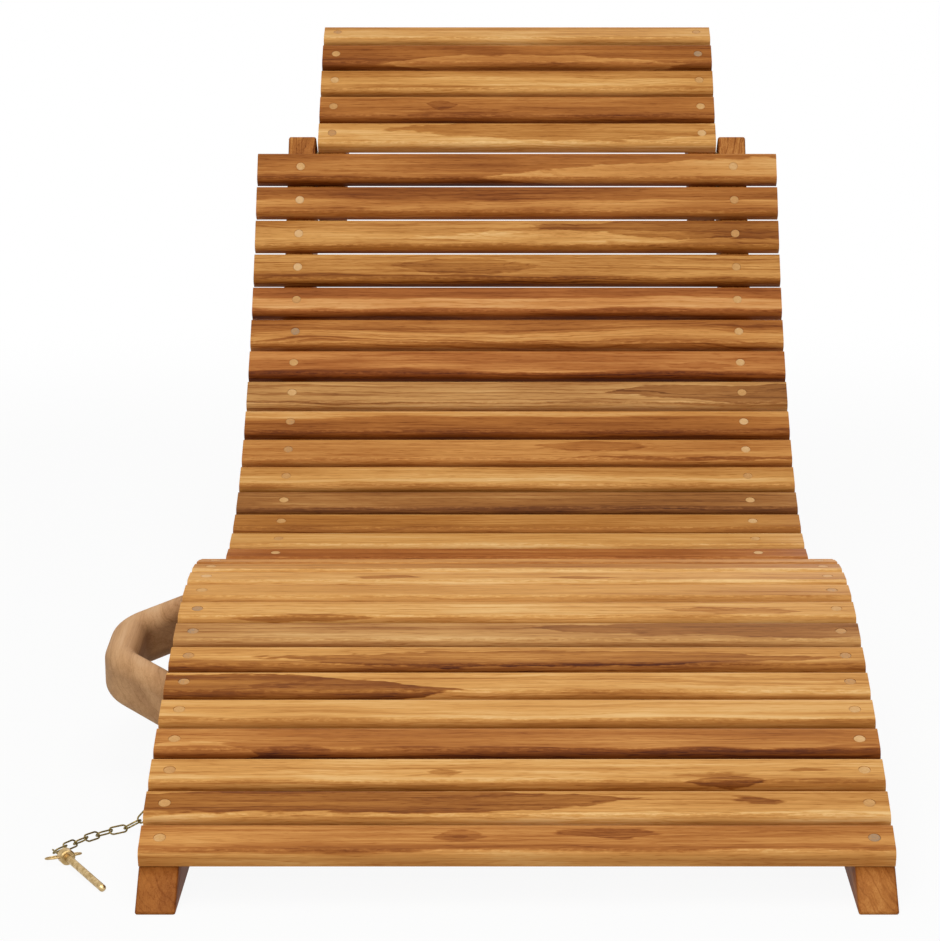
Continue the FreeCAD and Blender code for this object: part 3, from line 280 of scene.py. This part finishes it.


# The boards, each as it was picked: timber, bands (mm up the slope from the slat's middle, tone) with the
# front edge below -14, and flames (x, y, half length, half height, darkness) in mm, where a negative
# darkness is paler. The tones of the front edge, and of the pale band just above it on some back slats,
# are partly the wood and partly painted light and shade: darker where the edge faces down, paler on the
# rounded arris that turns to the front, and raised on the headrest's edges against the shade they lie in.
# a plain board's front edge, below -14, is darker than its face: partly painted shade
plain = {"timber": "honey", "bands": [(-30, 0.5), (-14, 0.55), (-10, 0.7), (17, 0.66)], "sway": 8.0,
         "vein": 0.13, "edgeWearAndHighlight": 0.14, "grain": 1.0, "face": 7.5, "flames": []}
boards = {
    "front_slat_01": {"timber": "amber",
                      "bands": [(-30, 0.66), (-17, 0.72), (-14, 0.42), (-11, 0.44), (-7, 0.62), (16, 0.54)],
                      "flames": [(-45, 2, 24, 7, 0.2), (-45, 2, 10, 3, 0.16), (72, 5, 46, 8, 0.26)]},
    "front_slat_02": {"bands": [(-30, 0.6), (-20, 0.72), (-13, 0.8), (-11, 0.66), (17, 0.64)],
                      "flames": [(-150, 3, 262, 18, 0.3), (195, 0, 24, 5, 0.34), (182, 5, 12, 3, 0.26)]},
    "front_slat_03": {"bands": [(-30, 0.52), (-15, 0.54), (-12, 0.8), (-8, 0.76), (17, 0.73)],
                      "flames": [(-59, -4, 16, 4, 0.26), (160, -5, 40, 4, 0.2), (170, -14, 36, 7, 0.3),
                                 (239, -2, 18, 4, 0.26)]},
    "front_slat_04": {"timber": "amber",
                      "bands": [(-30, 0.08), (-18, 0.14), (-14, 0.26), (-11, 0.56), (-8, 0.52), (17, 0.48)],
                      "flames": [(-180, -13, 30, 5, 0.12), (-270, -20, 60, 14, -0.24)]},
    "front_slat_05": {"bands": [(-30, 0.48), (-15, 0.52), (-11, 0.82), (-6, 0.75), (17, 0.72)],
                      "grain": 0.7},
    "front_slat_06": {"bands": [(-30, 0.44), (-16, 0.54), (-11, 0.72), (17, 0.68)], "sway": 11.0,
                      "flames": [(-300, -12, 262, 25, 0.4)]},
    "front_slat_07": {"bands": [(-30, 0.28), (-16, 0.32), (-12, 0.5), (-8, 0.68), (17, 0.68)],
                      "flames": [(25, -5, 262, 13, 0.26)]},
    "front_slat_08": {"timber": "umber",
                      "bands": [(-30, 0.54), (-14, 0.64), (-8, 0.72), (-3, 0.62), (5, 0.62), (17, 0.68)],
                      "flames": [(230, 4, 235, 15, 0.24)]},
    "front_slat_09": {"bands": [(-30, 0.6), (-15, 0.64), (-11, 0.75), (17, 0.7)],
                      "flames": [(192, -3, 66, 9, 0.24), (-190, -15, 70, 5, 0.3)]},
    "front_slat_10": {"bands": [(-30, 0.6), (-14, 0.66), (-8, 0.64), (17, 0.64)], "grain": 0.7},
    "front_slat_11": {"bands": [(-30, 0.7), (-14, 0.76), (-9, 0.7), (17, 0.74)],
                      "flames": [(-118, -4, 34, 6, 0.34), (60, -3, 38, 5, 0.28)]},
    "front_slat_12": {"bands": [(-30, 0.7), (-14, 0.78), (-10, 0.56), (17, 0.52)], "vein": 0.2},
    "front_slat_13": {"timber": "amber"},
    "front_slat_14": {},
    "front_slat_15": {"timber": "umber"},
    "front_slat_16": {},
    "back_slat_01": {},
    "back_slat_02": {"timber": "amber"},
    "back_slat_03": {},
    "back_slat_04": {"timber": "russet", "bands": [(-30, 0.5), (17, 0.44)]},
    "back_slat_05": {"bands": [(-30, 0.74), (-15, 0.76), (-10, 0.74), (17, 0.74)], "grain": 0.7},
    "back_slat_06": {"bands": [(-30, 0.36), (-14, 0.4), (-10, 0.48), (2, 0.54), (17, 0.58)], "grain": 0.7},
    "back_slat_07": {"timber": "umber",
                     "bands": [(-30, 0.2), (-14, 0.26), (-9, 0.5), (0, 0.46), (17, 0.46)]},
    "back_slat_08": {"bands": [(-30, 0.48), (-14, 0.56), (-10, 0.76), (-4, 0.76), (3, 0.66), (17, 0.64)]},
    "back_slat_09": {"timber": "amber", "bands": [(-30, 0.5), (-14, 0.56), (-9, 0.64), (17, 0.64)],
                     "flames": [(80, 4, 66, 8, 0.2), (190, -13, 150, 4, 0.3)]},
    "back_slat_10": {"timber": "amber",
                     "bands": [(-30, 0.18), (-14, 0.26), (-10, 0.46), (5, 0.48), (9, 0.8), (17, 0.8)]},
    "back_slat_11": {"timber": "umber",
                     "bands": [(-30, 0.72), (-19, 0.76), (-15, 0.5), (-12, 0.68), (17, 0.64)],
                     "vein": 0.24, "flames": [(260, 1, 170, 14, 0.3)]},
    "back_slat_12": {"timber": "russet", "bands": [(-30, 0.12), (-14, 0.18), (-10, 0.54), (17, 0.58)],
                     "flames": [(205, -4, 46, 6, 0.16)]},
    "back_slat_13": {"timber": "amber",
                     "bands": [(-30, 0.52), (-13, 0.56), (-9, 0.7), (-2, 0.68), (2, 0.42), (17, 0.38)],
                     "sway": 13.0, "vein": 0.24},
    "back_slat_14": {"timber": "russet",
                     "bands": [(-30, 0.32), (-14, 0.38), (-11, 0.8), (0, 0.78), (4, 0.44), (17, 0.4)]},
    "back_slat_15": {"bands": [(-30, 0.28), (-14, 0.36), (-10, 0.58), (17, 0.56)], "vein": 0.22,
                     "flames": [(-60, 1, 90, 12, 0.16)]},
    "back_slat_16": {"bands": [(-30, 0.42), (-14, 0.48), (-10, 0.62), (17, 0.58)],
                     "flames": [(60, -4, 190, 9, -0.16), (260, 7, 250, 15, 0.26)]},
    "back_slat_17": {"timber": "amber",
                     "bands": [(-30, 0.5), (-13, 0.54), (-9, 0.7), (-3, 0.68), (1, 0.4), (17, 0.34)]},
    "back_slat_18": {"timber": "amber", "bands": [(-30, 0.18), (-14, 0.26), (-10, 0.46), (17, 0.44)],
                     "flames": [(300, -14, 350, 26, -0.3)]},
    "headrest_slat_1": {"bands": [(-30, 0.76), (-14, 0.76), (-10, 0.76), (17, 0.72)],
                        "flames": [(70, 6, 232, 17, 0.22)]},
    "headrest_slat_2": {"timber": "amber", "bands": [(-30, 0.26), (-13, 0.34), (-9, 0.5), (17, 0.57)],
                        "flames": [(-88, 1, 20, 9, 0.18), (-60, -8, 60, 7, 0.1)]},
    "headrest_slat_3": {"bands": [(-30, 0.56), (-11, 0.62), (-7, 0.76), (2, 0.74), (6, 0.58), (17, 0.54)]},
    "headrest_slat_4": {"timber": "amber", "bands": [(-30, 0.18), (-13, 0.26), (-8, 0.38), (17, 0.36)],
                        "flames": [(20, -18, 190, 19, -0.3)]},
    "headrest_slat_5": {"bands": [(-30, 0.7), (-13, 0.74), (-9, 0.76), (6, 0.74), (12, 0.62), (17, 0.58)]},
}
# each board draws its seed, its grain's lean in degrees and its pith's mm beside and below from these
picks = {"seed": (0, 90), "lean": (-0.35, 0.35), "beside": (50, 90), "below": (25, 55)}
draw = np.random.default_rng(11)
for name, own in boards.items():
    seed, lean, beside, below = [float(draw.uniform(*ends)) for ends in picks.values()]
    look = {**plain, "seed": seed, "lean": lean, "pith": (-beside, -below), **own}
    centre, slope = slatPlace(nodes[name])
    dress(nodes[name], teakMaterial("oiled_teak_" + name, look, centre, (slope, 0, 0)))
print("slats dressed,", len(boards))

# Rails, legs and handle: the same timber from thicker planks, with the grain along each plank, so that a
# cut end shows the growth rings. Each has its timber, tone, strength of the grain, strength of the veins
# and pith height.
planks = {
    # the left front rail's dark tone is partly painted shade, standing in for its foot's unlit end face
    "front_rail_left": ("amber", 0.32, 0.6, 0.1, 90.0),
    "front_rail_right": ("amber", 0.46, 0.6, 0.12, 60.0),
    "back_rail_left": ("amber", 0.46, 0.8, 0.4, 4.0),
    "back_rail_right": ("amber", 0.5, 0.8, 0.3, 10.0),
    "headrest_rail_left": ("amber", 0.46, 0.8, 0.2, 40.0),
    "headrest_rail_right": ("russet", 0.46, 0.8, 0.2, 40.0),
    "rear_leg_left": ("amber", 0.46, 0.8, 0.2, 40.0),
    "rear_leg_right": ("russet", 0.48, 0.8, 0.2, 50.0),
    "leg_stretcher": ("amber", 0.5, 0.8, 0.2, 40.0),
    "back_brace": ("amber", 0.46, 0.8, 0.2, 40.0),
    # the handle's pale tone is partly painted light, raised against the shade its faces lie in
    "carry_handle": ("fawn", 0.78, 0.5, 0.08, 70.0),
}
crossPlanks = ("leg_stretcher", "back_brace")       # these lie across the chair
plankBands = [(-30, -0.1), (-12, 0.06), (2, -0.04), (17, 0.05)]     # mm, and how far from the plank's tone
plankLook = {**plain, "sway": 12.0, "lean": 0.8, "edgeWearAndHighlight": 0.0}
plankBeside = (60, 90)      # the range that the pith's distance is drawn from, mm
bodyOf = {node: body for body, group in frame["record"]["behaviour"]["bodies"].items() for node in group}
easing = {
    "width": 0.0026,    # m
    "segments": 3,
    "profile": 0.5,     # a round one
    "digits": 6,        # corners are one where they agree to this many places of a metre
    "flat": 0.05,       # faces that turn by less are one flat face, degrees
    "sharp": 40.0,      # edges that turn by more are eased, degrees
    "bore": 0.2,        # m, a shorter outline is the rim of a bore
}


# A plank with eased edges: a copy of the node with its corners merged and its flat triangles joined, whose
# sharp edges are rounded over. Linked sharp edges that add up to a short loop are the rim of a bore, and
# stay sharp.
def easedPlank(name):
    source = nodes[name].data
    corners = np.empty(len(source.loops), np.int32)
    source.loops.foreach_get("vertex_index", corners)
    spots, which = np.unique(np.round(points(nodes[name]), easing["digits"]), axis=0, return_inverse=True)
    faces = which.reshape(-1)[corners].reshape(-1, 3)
    faces = faces[(faces != np.roll(faces, 1, axis=1)).all(axis=1)]
    mesh = bpy.data.meshes.new("eased_" + name)
    mesh.from_pydata(spots.tolist(), [], faces.tolist())
    shape = bmesh.new()
    shape.from_mesh(mesh)
    bmesh.ops.dissolve_limit(
        shape, angle_limit=math.radians(easing["flat"]), verts=shape.verts[:], edges=shape.edges[:])
    shape.edges.index_update()
    limit = math.radians(easing["sharp"])
    left = {edge for edge in shape.edges if len(edge.link_faces) == 2 and edge.calc_face_angle() > limit}
    outline = []
    while left:
        loop, ends = [], [left.pop()]
        while ends:
            loop.append(ends.pop())
            linked = {edge for corner in loop[-1].verts for edge in corner.link_edges} & left
            left -= linked
            ends.extend(linked)
        if sum(edge.calc_length() for edge in loop) > easing["bore"]:
            outline.extend(loop)
    outline.sort(key=lambda edge: edge.index)       # the same order in each run
    bmesh.ops.bevel(
        shape, geom=outline, offset=easing["width"], segments=easing["segments"], profile=easing["profile"],
        affect="EDGES", clamp_overlap=True)
    shape.to_mesh(mesh)
    shape.free()
    mesh.shade_smooth()
    mesh.set_sharp_from_angle(angle=limit)
    piece = bpy.data.objects.new("eased_" + name, mesh)
    scene.collection.objects.link(piece)
    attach(piece, bodyOf[name])
    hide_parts(name)
    return piece


for name, (timber, tone, grain, vein, pithZ) in planks.items():
    low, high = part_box(name)
    middle = tuple((low + high) / 2)
    seed = float(draw.uniform(*picks["seed"]))
    beside = float(draw.uniform(*plankBeside))
    look = {**plankLook, "timber": timber, "grain": grain, "vein": vein, "seed": seed,
            "pith": (-beside, pithZ), "bands": [(y, tone + change) for y, change in plankBands]}
    along = mainDirection(nodes[name])
    turn = (0, 0, 0) if name in crossPlanks else (0, -math.atan2(along[1], along[0]), math.pi / 2)
    piece = nodes[name] if name == "carry_handle" else easedPlank(name)
    dress(piece, teakMaterial("planed_teak_" + name, look, middle, turn))
print("planks dressed,", len(planks))

# Plugs: teak dowels cut across and sanded flush, so each shows dull end grain of its own tone, some of it
# weathered grey. A slow noise gives each plug its tone, and a fine noise about its own middle the cut ends
# of the pores.
plugs = {
    "nodes": ("front_plugs", "back_plugs", "headrest_plugs"),
    "tones": ("#A08468", "#C48F55", "#D2A062", "#DDB27C"),
    "spacing": 90.0,        # from one tone to the next, mm
    "toneAt": (0.2, 0.7),   # where in its noise the first tone and the last are
    "pore": 1.8,            # mm, pores are 0.3 mm wide: drawn coarser so that they show
    "poreDetail": 2.0,
    "poreShare": 0.6,
    "roughness": 0.6,
}
for name in plugs["nodes"]:
    material, tree, shader = newMaterial("cut_teak_" + name)
    place = addNode(tree, "TexCoord", out="Object")
    low, high = plugs["toneAt"]
    own = addNode(tree, "TexNoise", None, {
        "Vector": place, "Scale": 1 / (plugs["spacing"] * mm), "Detail": 0.0})
    own = addNode(tree, "MapRange", None, {"Value": own, "From Min": low, "From Max": high})
    pore = addNode(tree, "TexNoise", None, {
        "Vector": place, "Scale": 1 / (plugs["pore"] * mm), "Detail": plugs["poreDetail"]})
    own = addNode(tree, "Math", timesPlus, {0: pore, 1: plugs["poreShare"], 2: own})
    own = addNode(tree, "Math", {"operation": "SUBTRACT"}, {0: own, 1: plugs["poreShare"] / 2})
    colour = addNode(tree, "ValToRGB", None, {0: own}, 0, evenStops(plugs["tones"]))
    tree.links.new(colour, shader.inputs["Base Color"])
    shader.inputs["Roughness"].default_value = plugs["roughness"]
    shader.inputs["Specular IOR Level"].default_value = teak["gloss"]
    dress(nodes[name], material)
print("plugs dressed,", len(plugs["nodes"]))

# Metals: brass wire drawn and bent to links, dull and olive with tarnish; a turned brass pin, worn pale by
# handling; turned brass bolts, aged brown; and rolled stainless steel screws, clean and grey. A noise makes
# patches: it mixes the bright metal with the dull, which is rougher. Each finish has its nodes, its bright
# and dull colours, its roughness and the size of a patch in mm.
metals = {
    "tarnished_drawn_brass": (("pin_chain",), "#A08A50", "#5C4F2C", 0.42, 1.11),
    "worn_turned_brass": (("locking_pin",), "#D0B482", "#A68A58", 0.42, 3.85),
    "aged_turned_brass": (("pivot_bolts",), "#A88A52", "#6A5226", 0.4, 2.0),
    "rolled_stainless_steel": (
        ("front_screws", "back_screws", "headrest_screws"), "#B4B4B2", "#8C8C8A", 0.35, 2.0),
}
patches = {"at": (0.35, 0.65), "detail": 3.0, "roughness": (-0.08, 0.15)}      # noise from bright to dull
for finish, (group, bright, dull, roughness, size) in metals.items():
    for name in group:
        material, tree, shader = newMaterial(finish + "_" + name)
        place = addNode(tree, "TexCoord", out="Object")
        patch = addNode(tree, "TexNoise", None, {
            "Vector": place, "Scale": 1 / (size * mm), "Detail": patches["detail"]})
        low, high = patches["at"]
        patch = addNode(tree, "MapRange", None, {"Value": patch, "From Min": low, "From Max": high})
        colour = addNode(tree, "Mix", {"data_type": "RGBA"}, {
            0: patch, 6: linear(bright), 7: linear(dull)}, 2)
        tree.links.new(colour, shader.inputs["Base Color"])
        low, high = patches["roughness"]
        rough = addNode(tree, "MapRange", None, {
            "Value": patch, "To Min": roughness + low, "To Max": roughness + high})
        tree.links.new(rough, shader.inputs["Roughness"])
        shader.inputs["Metallic"].default_value = 1.0
        dress(nodes[name], material)
print("metals dressed,", len(metals), "finishes")

# Studio: a wide pale floor under a pale sky, both white where they are looked at, and three soft lamps.
# Near the chair the floor keeps a share of its own shade, so that the shadow shows, and further out it goes
# to white.
studio = {
    "floorSize": 40.0,              # m
    "floorTone": "#D8D8D6",
    "floorRough": 0.9,
    "whiteShare": (0.93, 1.0),      # near the chair and further out
    "shadowReach": (1.1, 2.2),      # m from the chair's middle, where the one ends and the other starts
    "worldLevel": 0.22,
    "aim": (0.04, 0.0, 0.2),
    # each lamp's name, spot and side in m, and power in W
    "lamps": (
        ("overhead", (0.0, -0.7, 3.0), 2.4, 50.0),
        ("front", (-0.8, -3.6, 2.4), 1.8, 58.0),
        ("rear", (0.8, 3.6, 1.6), 1.8, 30.0),
    ),
}


# 1 for a ray that looks, from the camera, off metal or through glass, and else 0: the largest of the three
def looking(tree):
    rays = tree.nodes.new("ShaderNodeLightPath").outputs
    seen = addNode(tree, "Math", {"operation": "MAXIMUM"}, {
        0: rays["Is Camera Ray"], 1: rays["Is Glossy Ray"]})
    return addNode(tree, "Math", {"operation": "MAXIMUM"}, {0: seen, 1: rays["Is Transmission Ray"]})


corners = np.array(((-1, -1, 0), (1, -1, 0), (1, 1, 0), (-1, 1, 0)), float) * studio["floorSize"] / 2
floorMesh = bpy.data.meshes.new("floor")
floorMesh.from_pydata(corners.tolist(), [], [(0, 1, 2, 3)])
floor = bpy.data.objects.new("floor", floorMesh)
scene.collection.objects.link(floor)
material, tree, shader = newMaterial("pale_studio_floor")
shader.inputs["Base Color"].default_value = linear(studio["floorTone"])
shader.inputs["Roughness"].default_value = studio["floorRough"]
place = addNode(tree, "TexCoord", out="Object")
far = addNode(tree, "VectorMath", {"operation": "LENGTH"}, {0: place}, "Value")
far = addNode(tree, "MapRange", smoothStep, {
    "Value": far, "From Min": studio["shadowReach"][0], "From Max": studio["shadowReach"][1],
    "To Min": studio["whiteShare"][0], "To Max": studio["whiteShare"][1]})
share = addNode(tree, "Math", {"operation": "MULTIPLY"}, {0: looking(tree), 1: far})
glow = addNode(tree, "Emission", None, {"Color": white, "Strength": 1.0})
both = addNode(tree, "MixShader", None, {0: share, 1: shader.outputs[0], 2: glow})
tree.links.new(both, tree.nodes["Material Output"].inputs["Surface"])
dress(floor, material)

world = bpy.data.worlds.new("studio")
scene.world = world
world.use_nodes = True
tree = world.node_tree
level = addNode(tree, "MapRange", None, {
    "Value": looking(tree), "To Min": studio["worldLevel"], "To Max": 1.0})
sky = tree.nodes["Background"]
sky.inputs["Color"].default_value = white
tree.links.new(level, sky.inputs["Strength"])

for name, spot, side, watts in studio["lamps"]:
    lamp = bpy.data.lights.new(name, "AREA")
    lamp.size, lamp.energy = side, watts
    holder = bpy.data.objects.new(name, lamp)
    scene.collection.objects.link(holder)
    holder.location = spot
    aim = np.array(studio["aim"]) - np.array(spot)      # a tilt from straight down, then a turn
    holder.rotation_euler = (math.atan2(math.hypot(aim[0], aim[1]), -aim[2]), 0, math.atan2(-aim[0], aim[1]))
print("studio lit,", len(studio["lamps"]), "lamps")

# Camera: square to the chair's foot end, looking a little down, with the chair right of the frame's middle
view = {
    "spot": (0.042053, -3.12773, 0.857794),     # m
    "pitch": 11.9306,                           # degrees down
    "lens": 121.947,                            # mm
    "sensor": 36.0,                             # mm
    "shiftX": -0.05,
}
camera = bpy.data.cameras.new("camera")
camera.sensor_width, camera.sensor_fit = view["sensor"], "HORIZONTAL"
camera.lens, camera.shift_x = view["lens"], view["shiftX"]
holder = bpy.data.objects.new("camera", camera)
scene.collection.objects.link(holder)
holder.location = view["spot"]
holder.rotation_euler = (math.radians(90 - view["pitch"]), 0, 0)
scene.camera = holder
print("camera set")
